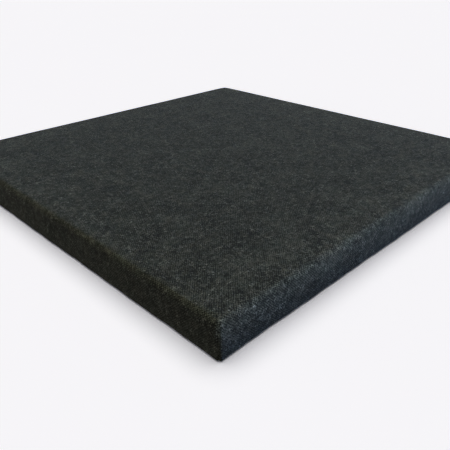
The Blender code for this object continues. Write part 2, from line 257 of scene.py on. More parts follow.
def make_timber_grain():
    """Growth rings, pores and fine grain, running along the vector's X. The pith lies a little
    way off, so that the rings cross the piece as arcs."""
    given = new_group("timber_grain", {"Vector": "Vector", "Ring Width": 0.0028, "Bend": 0.6})
    vector = given["Vector"]
    slow = noise(mapped(vector, (3.0, 22.0, 22.0)), 1.0, 2.0)
    place = parts(vector)
    squares = (
        maths("POWER", maths("ADD", place[axis], off), 2.0)
        for axis, off in ((1, 0.011), (2, 0.034))
    )
    rings = maths("DIVIDE", maths("SQRT", maths("ADD", *squares)), given["Ring Width"])
    bent = times_plus(slow, times(given["Bend"], 9.0), rings)
    late = maths("POWER", maths("FRACT", bent), 3.0)
    grain = noise(mapped(vector, (35.0, 1500.0, 1500.0)), 1.0, 3.0, 0.65)
    pores = spread(grain, 0.55, 0.72)
    height = maths("SUBTRACT", times(late, 0.4), pores)
    return ended({"Late Wood": late, "Pores": pores, "Height": height})


def make_zinc_plating():
    """Dull bright plating: faint stains, fine scratches and a pitted bloom."""
    given = new_group("zinc_plating", {"Vector": "Vector", "Stain Size": 0.006})
    vector = given["Vector"]
    stains = noise(vector, maths("DIVIDE", 1.0, given["Stain Size"]), 4.0, 0.6)
    lines = (
        noise(mapped(vector, stretch), 1.0, 2.0)
        for stretch in ((260.0, 7000.0, 7000.0), (7000.0, 320.0, 7000.0))
    )
    scratches = spread(maths("MAXIMUM", *lines), 0.62, 0.74)
    height = times_plus(scratches, -0.6, noise(vector, 5200.0, 2.0))
    return ended({
        "Stain": spread(stains, 0.4, 0.7), "Scratches": scratches, "Height": height
    })


PLAIN_WEAVE = make_plain_weave()
MATTED_FIBRE = make_matted_fibre()
TIMBER_GRAIN = make_timber_grain()
ZINC_PLATING = make_zinc_plating()


# Finishes

class Finish:
    """A new material, with its shader and the coordinates that its effects go by."""

    def __init__(self, name):
        self.made = bpy.data.materials.new(name)
        self.made.use_nodes = True
        self.shader = self.made.node_tree.nodes["Principled BSDF"]
        where = add_node("ShaderNodeTexCoord", tree=self.made.node_tree).outputs
        self.place, self.flat = where["Object"], where["UV"]

    def surface(self, colour, roughness, height, depth, strength=1.0):
        """Sets the colour, the roughness and the relief, whose depth is in metres."""
        relief = {"Height": height, "Distance": depth, "Strength": strength}
        self.bump = add_node("ShaderNodeBump", relief)
        normal = self.bump.outputs[0]
        give(self.shader, {"Base Color": colour, "Roughness": roughness, "Normal": normal})

    def soft_sheen(self, weight, roughness, tint, gloss):
        sheen = {"Sheen Weight": weight, "Sheen Roughness": roughness, "Sheen Tint": tint}
        give(self.shader, {**sheen, "Specular IOR Level": gloss})


def stray_hairs(flat):
    """Fine hairs that stand off the yarn here and there, combed one way."""
    combed = noise(mapped(flat, (1.0, 0.22, 1.0), 0.6), 420.0, 1.0)
    line = spread(maths("ABSOLUTE", maths("SUBTRACT", combed, 0.5)), 0.004, 0.014, 1.0, 0.0)
    return times(line, spread(noise(flat, 160.0, 1.0), 0.48, 0.6))


def painted_edge_sheen(place):
    """Painted sheen: the cloth is made paler toward the edges of the front, with a little random
    patchiness, and paler still along the rounded edges themselves as a painted highlight:
    (brightness, mask of the edges)."""
    x, y, z = parts(place)
    out = maths("MAXIMUM", maths("ABSOLUTE", x), maths("ABSOLUTE", y))
    patchy = times_plus(noise(place, 14.0), 0.03, -0.015)
    painted_sheen = spread(maths("ADD", out, patchy), 0.205, 0.292, 1.0, 1.16)
    edge = times(spread(out, 0.288, 0.297), spread(z, 0.0385, 0.0430))
    # Painted highlight along the rounded edges, broken up by noise.
    painted_ridge_highlight = spread(noise(place, 60.0), 0.35, 0.65, 0.24, 0.32)
    return maths("ADD", painted_sheen, times(edge, painted_ridge_highlight)), edge


def melange_cloth():
    """Charcoal melange: dark threads with paler fibres spun in, slubs, and a faint mottle."""
    cloth = Finish("charcoal_melange")
    flat = cloth.flat
    weave = placed(
        PLAIN_WEAVE, {"Flat": flat, "Pitch": THREAD_PITCH, "Streak": 230.0, "Wander": 0.0020}
    )
    tone, fibre = weave["Thread Tone"], weave["Fibre"]
    mottle = noise(flat, 25.0, 2.0, 0.6)
    clumps = noise(flat, 120.0, 2.0, 0.65)
    pale_share = times_plus(spread(tone, 0.38, 0.64), 0.55, -1.45)
    shares = ((fibre, 0.85), (clumps, 1.2), (mottle, 0.9), (weave["Slub"], 0.4))
    for part, share in (*shares, (weave["Weft Shows"], 0.5)):
        pale_share = times_plus(part, share, pale_share)
    pale = mix(spread(noise(flat, 55.0), 0.35, 0.65), YARN_PALE, YARN_PALE_GREEN)
    yarn = mix(spread(pale_share, 0.05, 1.35), YARN_DARK, pale)

    lively = spread(noise(flat, 42.0, 2.0), 0.42, 0.62)
    fleck = times_plus(clumps, 0.35, times_plus(lively, 0.06, maths("ADD", tone, fibre)))
    painted_sheen, edge = painted_edge_sheen(cloth.place)
    fleck = times(spread(fleck, 1.33, 1.54), times_plus(edge, -0.7, 1.0))
    colour = mix(fleck, yarn, YARN_FLECK)
    hair = stray_hairs(flat)
    colour = mix(times(hair, 0.3), colour, YARN_FLECK)
    # Painted shade where the threads dip under each other, and a painted highlight on their
    # crowns.
    colour = shade(colour, spread(weave["Height"], 0.05, 0.95, 0.05, 1.2))
    height = times_plus(hair, 0.1, times_plus(fibre, 0.25, weave["Height"]))
    # The colour is multiplied by painted sheen toward the front's edges and a painted highlight
    # along their rounding.
    cloth.surface(shade(colour, painted_sheen), 0.92, height, 0.00026, 0.9)
    cloth.soft_sheen(0.038, 0.5, (0.9, 0.95, 0.93), 0.04)
    return cloth.made


def fibre_finish(name, dark, pale, fineness, clump, depth, sheen):
    """A matted finish between two colours: (finish, the matted effect, its colour)."""
    finish = Finish(name)
    matt = placed(MATTED_FIBRE, {"Vector": finish.place, "Fineness": fineness, "Clump": clump})
    share = times_plus(matt["Clumps"], 0.6, times(matt["Fibre"], 0.7))
    colour = mix(spread(share, 0.15, 1.0), dark, pale)
    finish.surface(colour, 0.95, matt["Height"], depth)
    finish.soft_sheen(sheen, 0.6, pale, 0.2)
    return finish, matt, colour


def scrim_finish():
    """Black non-woven, matted fibres bonded in a grid of small sunk points."""
    scrim, matt, _ = fibre_finish(
        "black_scrim_bonded",
        (0.008, 0.008, 0.0085), (0.036, 0.036, 0.038), 1500.0, 160.0, 0.0001, 0.1,
    )
    spacing = 0.0022
    x, y, _ = parts(scrim.place)
    rows = [maths("SINE", times(part, math.tau / spacing)) for part in (x, y)]
    points = spread(times(*rows), 0.45, 0.8)
    give(scrim.bump, {"Height": times_plus(points, -1.2, matt["Height"])})
    give(scrim.shader, {"Roughness": times_plus(points, -0.35, 0.9)})
    return scrim.made


def wool_finish():
    """Mineral wool: straw-coloured fibres pressed in thin layers."""
    wool, _, colour = fibre_finish(
        "mineral_wool_layers", (0.20, 0.155, 0.06), (0.50, 0.42, 0.22), 700.0, 60.0, 0.0004, 0.1
    )
    layers = noise(mapped(wool.place, (14.0, 14.0, 900.0)), 1.0, 3.0)
    shaded = mix(spread(layers, 0.35, 0.7, 0.0, 0.45), colour, (0.13, 0.10, 0.045))
    give(wool.shader, {"Base Color": shaded})
    return wool.made


def timber_finish(name, turn):
    """Planed softwood with its grain along the piece, which turn brings onto X."""
    timber = Finish(name)
    along = mapped(timber.place, turn=turn)
    grain = placed(TIMBER_GRAIN, {"Vector": along, "Ring Width": 0.0031, "Bend": 0.55})
    colour = mix(grain["Late Wood"], (0.62, 0.43, 0.235), (0.42, 0.235, 0.095))
    colour = mix(times(grain["Pores"], 0.35), colour, (0.30, 0.17, 0.075))
    tint = spread(noise(timber.place, 9.0, 2.0), 0.35, 0.75, 0.0, 0.3)
    colour = mix(tint, colour, (0.70, 0.52, 0.31))
    roughness = times_plus(grain["Pores"], 0.18, 0.55)
    timber.surface(colour, roughness, grain["Height"], 0.00012, 0.6)
    return timber.made


def plywood_finish(back_z, thickness):
    """Birch plywood: pale faces, and five plies on the edges with the cross plies darker."""
    board = Finish("birch_plywood_faced")
    grain = placed(TIMBER_GRAIN, {"Vector": board.place, "Ring Width": 0.006, "Bend": 0.9})
    face = mix(times(grain["Late Wood"], 0.45), (0.68, 0.53, 0.35), (0.52, 0.35, 0.18))
    face = mix(times(grain["Pores"], 0.3), face, (0.38, 0.24, 0.12))
    height = maths("SUBTRACT", parts(board.place)[2], back_z)
    ply = maths("DIVIDE", height, thickness / 5)
    cross = maths("FLOORED_MODULO", maths("FLOOR", ply), 2.0)
    glue = spread(maths("PINGPONG", ply, 0.5), 0.0, 0.09, 1.0, 0.0)
    streaks = noise(mapped(board.place, (700.0, 700.0, 90.0)), 1.0, 2.0)
    edge = mix(cross, (0.60, 0.43, 0.25), (0.36, 0.22, 0.11))
    edge = mix(spread(streaks, 0.4, 0.7, 0.0, 0.4), edge, (0.30, 0.18, 0.09))
    edge = mix(times(glue, 0.7), edge, (0.14, 0.075, 0.035))
    normal = add_node("ShaderNodeNewGeometry", tree=board.made.node_tree).outputs["True Normal"]
    tilt = maths("ABSOLUTE", parts(normal)[2])
    colour = mix(spread(tilt, 0.4, 0.6), edge, face)
    board.surface(colour, 0.5, grain["Height"], 0.00008, 0.5)
    return board.made


def zinc_finish(name, colour, stained, roughness, stain_size):
    zinc = Finish(name)
    plating = placed(ZINC_PLATING, {"Vector": zinc.place, "Stain Size": stain_size})
    tone = mix(times(plating["Stain"], 0.6), colour, stained)
    tone = mix(times(plating["Scratches"], 0.3), tone, (0.82, 0.82, 0.80))
    roughness = times_plus(plating["Stain"], 0.16, roughness)
    zinc.surface(tone, roughness, plating["Height"], 0.00002, 0.5)
    give(zinc.shader, {"Metallic": 1.0})
    return zinc.made


CLOTH = melange_cloth()
WADDING = fibre_finish(
    "polyester_wadding", (0.62, 0.61, 0.58), (0.86, 0.85, 0.83), 500.0, 70.0, 0.0006, 0.3
)[0].made
FELT = fibre_finish(
    "black_felt_pad", (0.010, 0.010, 0.011), (0.048, 0.048, 0.052), 1300.0, 420.0, 0.0002, 0.25
)[0].made
LOOSE_THREAD = fibre_finish(
    "charcoal_loose_thread",
    (0.016, 0.018, 0.017), (0.075, 0.082, 0.078), 1400.0, 300.0, 0.0001, 0.1,
)[0].made
SCRIM = scrim_finish()
WOOL = wool_finish()
RAIL_TIMBER = timber_finish("softwood_along_rails", 0.0)
STILE_TIMBER = timber_finish("softwood_along_stiles", math.pi / 2)
PLYWOOD = plywood_finish(GUSSET_LOW.z, GUSSET_HIGH.z - GUSSET_LOW.z)
PLATED = zinc_finish(
    "zinc_plated_hardware", (0.62, 0.62, 0.60), (0.50, 0.50, 0.50), 0.26, 0.006
)
STAPLE_WIRE = zinc_finish(
    "galvanised_staple_wire", (0.60, 0.60, 0.59), (0.42, 0.42, 0.43), 0.32, 0.003
)


# Making pieces

def new_object(name, data):
    obj = bpy.data.objects.new(name, data)
    bpy.context.scene.collection.objects.link(obj)
    return obj


def as_piece(name, mesh, finish, node=None, body="panel", smooth=True):
    """A finished piece that rides its body, in the place that its mesh gives, and stands for
    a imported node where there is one."""
    obj = new_object(name, mesh)
    mesh.materials.clear()
    mesh.materials.append(finish)
    mesh.polygons.foreach_set("use_smooth", [smooth] * len(mesh.polygons))
    mesh.update()
    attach(obj, body)
    if node:
        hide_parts(node)
    return obj


def modify(obj, kind, **settings):
    modifier = obj.modifiers.new(kind.lower(), kind)
    for key, value in settings.items():
        setattr(modifier, key, value)


def baked(obj):
    """The object's shape with its modifiers worked in, as a plain mesh; the object goes."""
    bpy.context.view_layer.update()
    graph = bpy.context.evaluated_depsgraph_get()
    mesh = bpy.data.meshes.new_from_object(obj.evaluated_get(graph))
    bpy.data.objects.remove(obj, do_unlink=True)
    return mesh


def thickened(mesh, thickness):
    """A sheet given its thickness, behind the side that faces out."""
    obj = new_object("sheet", mesh)
    modify(obj, "SOLIDIFY", thickness=thickness, offset=-1.0, use_even_offset=True)
    return baked(obj)


def new_mesh(name, vertices, faces, flats=None):
    """A mesh, with its flat layout as UV, in metres, where one is given."""
    mesh = bpy.data.meshes.new(name)
    mesh.from_pydata([tuple(vertex) for vertex in vertices], [], faces)
    if flats is not None:
        layout = mesh.uv_layers.new(name="flat_cloth")
        layout.data.foreach_set("uv", np.array(flats, np.float32).ravel())
    return mesh


def quads(rows, across, closed=False):
    """Faces between rows of points. Each row has across points, and may close on itself."""
    return [
        (j * across + i, j * across + k, (j + 1) * across + k, (j + 1) * across + i)
        for j in range(rows - 1)
        for i, k in zip(range(across if closed else across - 1), [*range(1, across), 0])
    ]


def mesh_of(shape, name):
    mesh = bpy.data.meshes.new(name)
    shape.to_mesh(mesh)
    shape.free()
    return mesh


def ease(x, low, high):
    """0 below low, 1 above high, and smooth between."""
    t = np.clip((np.asarray(x, float) - low) / (high - low), 0, 1)
    return t * t * (3 - 2 * t)


def ripple(x, y, *waves):
    """A few long waves added up, each as (size, length along x, length along y, phase)."""
    return sum(
        size * np.sin(math.tau * (x / length_x + y / length_y) + phase)
        for size, length_x, length_y, phase in waves
    )


# The cloth, drawn as rings that run out over the front, down the sides and in on the back

ALONG = np.array([(1, 0), (0, 1), (-1, 0), (0, -1)])
OUTWARD = np.array([(0, -1), (1, 0), (0, 1), (-1, 0)])


def on_panel(side, along, out):
    """X and Y of points so far along a side, and so far out from the panel's middle."""
    return ALONG[side] * along[..., None] + OUTWARD[side] * out[..., None]


def cover_section(drop):
    """The cover's line from the rim of its flat front: rows of (outward, down, length)."""
    lean, quarter = SIDE_LEAN, math.pi / 2
    side = drop - FRONT_RADIUS * (1 - math.sin(lean)) - BACK_RADIUS * (1 - math.sin(lean))
    rows, out, down, length = [(0.0, 0.0, 0.0)], 0.0, 0.0, 0.0
    for size, start, end, count in (
        (FRONT_RADIUS * (quarter - lean), 0.0, quarter - lean, 10),
        (side * lean / math.sin(lean), quarter - lean, quarter + lean, 18),
        (BACK_RADIUS * (quarter - lean), quarter + lean, math.pi, 5),
        (RETURN_WIDTH - BACK_RADIUS, math.pi, math.pi, 9),
    ):
        for i in range(count):
            turn = start + (end - start) * (i + 0.5) / count
            out += math.cos(turn) * size / count
            down += math.sin(turn) * size / count
            length += size / count
            rows.append((out, down, length))
    return rows


def ring_stations(fine):
    """Where a ring's points lie, as arrays: the side, the place along its straight part from
    -1 to 1, and the turn round the corner that follows it."""
    reach = 294.0  # from a side's middle to its corner, in millimetres as below
    if fine:
        from_corner = [0.0, 0.5, 1.0, 1.6, 2.4, 3.4, 5.0, 7.0, 9.5, 12.5, 16.0, 20.0]
        from_corner += [25.0, 31.0, 37.0, 44.0]
    else:
        from_corner = [0.0, 3.0, 8.0, 18.0, 32.0]
    ends = reach - np.array(from_corner)
    middle = np.linspace(-ends[-1], ends[-1], 66 if fine else 24)
    straight = np.concatenate([-ends[:-1], middle, ends[-2::-1]]) / reach
    turns = np.radians(np.linspace(0, 90, 26 if fine else 9)[1:-1])
    along = np.tile(np.append(straight, np.ones_like(turns)), 4)
    turn = np.tile(np.append(np.zeros_like(straight), turns), 4)
    return np.repeat(np.arange(4), len(turn) // 4), along, turn


def ring_points(stations, half, radius):
    """A ring's X and Y: a square of that half width with rounded corners."""
    side, along, turn = stations
    along = along * (half - radius) + radius * np.sin(turn)
    return on_panel(side, along, half - radius * (1 - np.cos(turn)))


def corner_fold(past_corner, below):
    """How far the folded corner stands out: a groove at the fold's edge, and the doubled cloth
    after it, which the tucked triangle holds up as far as it reaches. Below is the depth
    under the front."""
    begun = ease(below, 0.0095, 0.0150)
    past = past_corner + 0.0007 + 0.0006 * np.sin(below * 95.0)
    groove = -0.00095 * np.exp(-((past / 0.00036) ** 2))
    lip = 0.00060 * ease(past, 0.0002, 0.0014) * (1 - 0.45 * ease(past, 0.0016, 0.0060))
    tucked = 1 - ease(past - (below - 0.010), -0.002, 0.003)
    before = -0.00010 * np.exp(-(((past + 0.0016) / 0.0016) ** 2))
    return begun * (groove + lip * tucked + before)


def stretch(base, heights, heading, rim, past_corner, outward):
    """Works the marks of stretching into the cover's rings: a front that bows between its
    dipped corners, pulls at the staples, slow waves, and the folded corners with their laps
    on the back. Heading is each ring's way on, as (out, down), and rim is the rim's ring."""
    half = COVER_HIGH.x
    ring = np.arange(len(base))[:, None]
    going_out, going_down = heading[:, :1], heading[:, 1:]
    below = COVER_HIGH.z - heights
    x, y = base[..., 0], base[..., 1]
    along = np.where(np.abs(x) < np.abs(y), x, y)
    tip = np.hypot(half - np.abs(x), half - np.abs(y))

    from_edge = half - np.maximum(np.abs(x), np.abs(y)) - FRONT_RADIUS
    bow = 0.0009 * ease(from_edge, -0.02, 0.09) - 0.0004 + ripple(
        x, y, (0.00010, 0.31, 0.9, 0.4), (0.00008, 0.7, 0.23, 2.0), (0.00005, 0.13, 0.17, 1.1)
    )
    dip = 0.0009 * np.exp(-((tip / 0.013) ** 2)) * (1 - going_down ** 4)
    heights = heights + np.where(ring < rim + 3, bow, 0.0) - dip

    pull = 0.00022 * np.cos(math.tau * along / STAPLE_PITCH) * ease(below, 0.012, 0.040)
    wave = ripple(along, below, (0.00018, 0.19, 0.8, 0.7), (0.00010, 0.083, 0.3, 2.2))
    move = corner_fold(past_corner, below) + pull * ease(tip, 0.01, 0.05)
    move = move * np.abs(going_down) + wave * ease(tip, 0.01, 0.06)
    points = base + outward * np.where(ring < rim, 0.0, move)[..., None]

    lap = ease(np.abs(np.abs(x) - np.abs(y)), 0.0, 0.0006) * np.where(past_corner > 0, 1, 0)
    lap = -0.00022 * lap * (1 - ease(np.abs(past_corner), 0.0, 0.03))
    return points, heights + np.where(going_out < -0.5, lap * -going_out, 0.0)


def cover_surface(name, half, front_z, radius, corner_radius, rows, detailed):
    """A tray of cloth with its flat layout, out to the end of a section given by rows."""
    stations = side, along, turn = ring_stations(detailed)
    flat_half = half - radius
    inner = [0.2, 0.4, 0.55, 0.66, 0.74, 0.81, 0.87, 0.92, 0.96, 0.985] if detailed else [0.6]
    rings = [(flat_half * share, 0.0015, 0.0, 0.0) for share in inner]
    rim, count = len(rings), len(side)
    for out, down, length in rows:
        size = flat_half + out
        rounded = min(corner_radius, 0.0015 + max(out, down) * 0.75 + 0.2 * down)
        if down > 0.03 and length > rows[-1][2] - RETURN_WIDTH + 0.002:
            rounded = max(0.0008, corner_radius - (half - size))
        rings.append((size, rounded, down, length))
    base = np.array([ring_points(stations, size, rounded) for size, rounded, _, _ in rings])
    downs, lengths = np.array([ring[2:] for ring in rings]).T
    points, heights = base, np.repeat((front_z - downs)[:, None], count, axis=1)

    straight, half_arc = half - corner_radius, corner_radius * math.pi / 4
    along = along * straight + turn * corner_radius
    if detailed:
        heading = np.zeros((len(rings), 2))
        slope = np.gradient(np.array(rows)[:, :2], axis=0)
        heading[rim:] = slope / np.linalg.norm(slope, axis=1, keepdims=True)
        to_corner = straight + half_arc
        past_corner = np.where(along > 0, along - to_corner, along + to_corner)
        outward = on_panel(side, np.sin(turn), np.cos(turn))
        points, heights = stretch(base, heights, heading, rim, past_corner, outward)

    # Faces, and the flat place of each of their corners: past the rim each side is a strip of
    # its own, and a face that begins beyond a corner's middle belongs to the next side's strip
    station, ring = np.indices((count, len(rings) - 1))
    after = (station + 1) % count
    owner = np.where(turn < math.radians(43.5), side, (side + 1) % 4)[station][..., None]
    ring = np.stack([ring, ring + 1, ring + 1, ring], axis=2)
    station = np.stack([station, station, after, after], axis=2)
    lead = 2 * (straight + half_arc)
    strip_along = along[station] - np.where(side[station] == owner, 0.0, lead)
    rim_along = (base[rim][station] * ALONG[owner]).sum(axis=3)
    rim_out = (base[rim][station] * OUTWARD[owner]).sum(axis=3)
    share = ease(lengths[ring], 0.0, radius * 1.3)
    strip_along = rim_along + (strip_along - rim_along) * share
    strip_out = rim_out + (flat_half - rim_out) * share + lengths[ring]
    strips = on_panel(owner, strip_along, strip_out)
    flats = np.where(ring[..., None] > rim, strips, base[ring, station]).reshape(-1, 2)
    faces = (ring * count + station).reshape(-1, 4).tolist()

    # The middle of the front is a fan of triangles
    vertices = np.concatenate([points, heights[..., None]], axis=2).reshape(-1, 3)
    centre = len(vertices)
    vertices = np.vstack([vertices, [0.0, 0.0, heights[0].mean()]])
    faces += [(centre, i, (i + 1) % count) for i in range(count)]
    fan = np.stack([0 * base[0], base[0], np.roll(base[0], -1, axis=0)], axis=1)
    return new_mesh(name, vertices, faces, np.vstack([flats, fan.reshape(-1, 2)]))


def make_cover():
    half = COVER_HIGH.x
    rows = cover_section(COVER_HIGH.z - COVER_LOW.z)
    mesh = cover_surface(
        "cover_cloth", half, COVER_HIGH.z, FRONT_RADIUS, CORNER_RADIUS, rows, detailed=True
    )
    mesh = thickened(mesh, CLOTH_THICKNESS)
    piece = as_piece("cover_cloth", mesh, CLOTH, "fabric_cover")
    return piece, 2 * (half - FRONT_RADIUS + rows[-1][2])


def make_wadding():
    """The wadding just under the cloth, eased round the front's edge."""
    half = WADDING_HIGH.x
    radius = min(FRONT_RADIUS - CLOTH_THICKNESS, WADDING_HIGH.z - WADDING_LOW.z + 0.0015)
    rows = [
        (radius * math.sin(turn), radius * (1 - math.cos(turn)), radius * turn)
        for turn in np.linspace(0, 0.83, 7)
    ]
    mesh = cover_surface(
        "wadding", half - 0.0006, WADDING_HIGH.z - 0.0004, radius, 0.005, rows, detailed=False
    )
    piece = as_piece("wadding", thickened(mesh, 0.0014), WADDING, "wadding_sheet")
    return piece, 2 * (half - radius + rows[-1][2])


COVER, COVER_CUT = make_cover()
WADDING_PIECE, WADDING_CUT = make_wadding()


# Core and scrim, which sag a little between the gussets

def sag(x, y):
    """How far the scrim hangs below its edges, clear of the frame and the gussets."""
    gusset_leg = 0.100
    edge_x, edge_y = SCRIM_HIGH.x - np.abs(x), SCRIM_HIGH.y - np.abs(y)
    clear = ease(edge_x + edge_y - gusset_leg, 0.012, 0.12)
    clear = clear * ease(np.minimum(edge_x, edge_y), 0.0, 0.05)
    return clear * (0.0011 + ripple(
        x, y,
        (0.00022, 0.21, 0.33, 0.3), (0.00018, -0.16, 0.14, 1.9), (0.00010, 0.075, -0.11, 0.5),
    ))


def make_scrim():
    count = 110
    x, y = np.meshgrid(
        *(np.linspace(SCRIM_LOW[axis], SCRIM_HIGH[axis], count) for axis in (0, 1))
    )
    points = np.stack([x, y, SCRIM_HIGH.z - 0.0001 - sag(x, y)], axis=2).reshape(-1, 3)
    faces = quads(count, count)
    mesh = new_mesh("scrim_sheet", points, faces, points[np.ravel(faces), :2])
    return as_piece("scrim_sheet", thickened(mesh, 0.0004), SCRIM, "rear_scrim")


def make_wool():
    """The slab, its long faces a little uneven and its edges crushed soft."""
    size, middle = WOOL_HIGH - WOOL_LOW, (WOOL_HIGH + WOOL_LOW) / 2
    block = Matrix.Translation(middle) @ Matrix.Diagonal((*size, 1))
    shape = bmesh.new()
    bmesh.ops.create_cube(shape, size=1.0, matrix=block)
    for upright, cuts in ((False, 70), (True, 7)):
        edges = [
            edge for edge in shape.edges
            if (abs(edge.verts[0].co.z - edge.verts[1].co.z) > 0.001) == upright
        ]
        bmesh.ops.subdivide_edges(shape, edges=edges, cuts=cuts, use_grid_fill=True)
    for vertex in shape.verts:
        x, y, z = vertex.co
        up = (z - WOOL_LOW.z) / size.z
        uneven = ripple(x, y, (0.00012, 0.021, 0.034, 0.1), (0.0001, 0.013, -0.017, 1.4))
        vertex.co.z = z - float(sag(x, y)) * (1 - up) - (abs(uneven) if up > 0.99 else 0)
        crush = 0.0009 * (abs(up * 2 - 1) ** 6)
        frayed = 0.0004 * (1 + math.sin(z * 2400 + x * 31 + y * 27)) / 2
        for axis, limit in ((0, WOOL_HIGH.x), (1, WOOL_HIGH.y)):
            if abs(abs(vertex.co[axis]) - limit) < 1e-5:
                vertex.co[axis] = math.copysign(limit - crush - frayed, vertex.co[axis])
    mesh = mesh_of(shape, "wool_slab")
    return as_piece("wool_slab", mesh, WOOL, "mineral_wool_core")


SCRIM_PIECE = make_scrim()
WOOL_PIECE = make_wool()


# Turned and swept pieces

def lathe(profile, steps):
    """A closed round shape about Z from its half section, from the axis back to the axis."""
    rings = profile[1:-1]
    turns = [math.tau * i / steps for i in range(steps)]
    vertices = [(r * math.cos(t), r * math.sin(t), z) for r, z in rings for t in turns]
    faces = quads(len(rings), steps, closed=True)
    for z, ring in ((profile[0][1], 0), (profile[-1][1], len(rings) - 1)):
        start, tip = ring * steps, len(vertices)
        faces += [(tip, start + i, start + (i + 1) % steps) for i in range(steps)]
        vertices.append((0.0, 0.0, z))
    shape = bmesh.new()
    shape.from_mesh(new_mesh("turned", vertices, faces))
    bmesh.ops.recalc_face_normals(shape, faces=shape.faces)
    return mesh_of(shape, "turned")


def arc(radius, start, end, count, x=0.0, y=0.0):
    """Points round a centre, from one angle to another."""
    turns = np.linspace(start, end, count)
    return [(x + radius * math.cos(turn), y + radius * math.sin(turn)) for turn in turns]


def make_pads():
    """Die-cut felt pads, a little domed at their cut edge."""
    for name in CORNERS:
        node = "wall_pad_" + name
        low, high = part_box(node)
        middle, tall = (low + high) / 2, high.z - low.z
        radius = (high.x - low.x) / 2
        edge = [
            (radius - 0.0005 * (1 - math.cos(t)), tall / 2 + (tall / 2) * math.sin(t))
            for t in np.linspace(-math.pi / 2, math.pi / 2, 9)
        ]
        below = [(0.0, 0.0), (radius * 0.5, 0.0), (radius * 0.85, 0.0)]
        mesh = lathe([*below, *edge, (radius * 0.6, tall), (0.0, tall)], 56)
        for vertex in mesh.vertices:
            x, y, z = vertex.co
            if 0.0001 < z < tall - 0.0001:
                push = ripple(x, y, (6e-5, 0.0031, 0.0047, 0.2), (4e-5, 0.0019, -0.0023, 1.0))
                vertex.co.x *= 1 + push / radius
                vertex.co.y *= 1 + push / radius
        mesh.transform(Matrix.Translation((middle.x, middle.y, low.z)))
        as_piece("felt_pad_" + name, mesh, FELT, node)


def recessed(mesh, top_z, size, depth, turn):
    """A screw with a cross recess in its head, which faces down to the wall. The recess has
    two tapered wings that cross."""
    shape = bmesh.new()
    for wing_turn in (0, math.pi / 2):
        wing = bmesh.ops.create_cube(shape, size=1.0)["verts"]
        for vertex in wing:
            x, y, z = vertex.co
            wide = size * (0.45 if z < 0 else 1.0)
            vertex.co = (x * wide, y * wide * 0.2, z * depth * 2)
        matrix = Matrix.Rotation(wing_turn, 3, "Z")
        bmesh.ops.rotate(shape, verts=wing, cent=(0, 0, 0), matrix=matrix)
    cutter = new_object("cross_recess", mesh_of(shape, "cross_recess"))
    facing_down = Matrix.Rotation(math.pi, 4, "X") @ Matrix.Rotation(turn, 4, "Z")
    cutter.matrix_world = Matrix.Translation((0, 0, top_z)) @ facing_down
    screw = new_object("screw", mesh)
    modify(screw, "BOOLEAN", object=cutter, solver="EXACT", use_self=True)
    made = baked(screw)
    bpy.data.objects.remove(cutter, do_unlink=True)
    return made


def make_strap_screws():
    """Pan head wood screws with a cross recess, a rolled thread and a washer face."""
    head_height, core, crest, pitch = 0.0020, 0.00112, 0.00150, 0.00125
    names = [f"{side}_{level}" for side in SIDES for level in ("upper", "lower")]
    for i, name in enumerate(names):
        node = "strap_screw_" + name
        low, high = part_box(node)
        middle, head = (low + high) / 2, (high.x - low.x) / 2
        z = seat = low.z + head_height
        profile = [(0.0, low.z)]
        profile += [
            (head * math.sin(t) ** 0.8, seat - 0.0004 - 0.0016 * math.cos(t) ** 0.9)
            for t in np.linspace(0.12, math.pi / 2, 12)
        ]
        profile += [(head, seat - 0.0001), (head - 0.0001, seat), (0.0016, seat)]
        z += 0.0006
        while z < high.z - 0.0016:
            profile += [(core, z), (crest, z + 0.0005), (core, z + 0.001)]
            z += pitch
        profile += [(0.0010, high.z - 0.0012), (0.0002, high.z - 0.0001), (0.0, high.z)]
        mesh = recessed(lathe(profile, 40), low.z - 0.00005, 0.0034, 0.0013, 0.35 + 1.1 * i)
        mesh.transform(Matrix.Translation((middle.x, middle.y, 0.0)))
        as_piece("pan_head_screw_" + name, mesh, PLATED, node, smooth=False)


def make_straps():
    """Folded steel strip: out along one ply, round the ring's bar, and back along the other."""
    radius = LOOP_RADIUS - STRAP_GAUGE / 2
    join_z = radius - STRAP_GAUGE
    round_end = STRAP_WIDTH / 2
    tail = [round_end * (1 - math.cos(math.pi / 2 * i / 14)) - STRAP_LENGTH for i in range(15)]
    plain = np.linspace(round_end, STRAP_LENGTH, 15)[1:] - STRAP_LENGTH
    line = [(y, radius) for y in (*tail, *plain)]
    line += arc(radius, math.pi / 2, -math.pi * 0.72, 26)[1:]
    last = line[-1][0]
    line += [(last - 0.0016, join_z - 0.0007), (last - 0.0026, join_z - 0.0001)]
    back = np.linspace(last - 0.0036, round_end - STRAP_LENGTH, 12)
    line += [(y, join_z) for y in (*back, *tail[-2::-1])]
    lanes = np.linspace(-1, 1, 17)
    for side in SIDES:
        bar = BARS["ring_" + side]
        vertices = []
        for y, z in line:
            from_tail, half = y + STRAP_LENGTH, round_end
            if from_tail < half:
                half = math.sqrt(max(half**2 - (half - from_tail) ** 2, 4e-8))
            vertices += [(bar.x + lane * half, bar.y + y, bar.z + z) for lane in lanes]
        obj = new_object("strap", new_mesh("strap", vertices, quads(len(line), len(lanes))))
        modify(obj, "SOLIDIFY", thickness=STRAP_GAUGE * 0.97, offset=0.0)
        soft = {"width": 0.00012, "segments": 2, "angle_limit": math.radians(50)}
        modify(obj, "BEVEL", limit_method="ANGLE", **soft)
        node = "hanger_strap_" + side
        as_piece("folded_strap_" + side, baked(obj), PLATED, node)


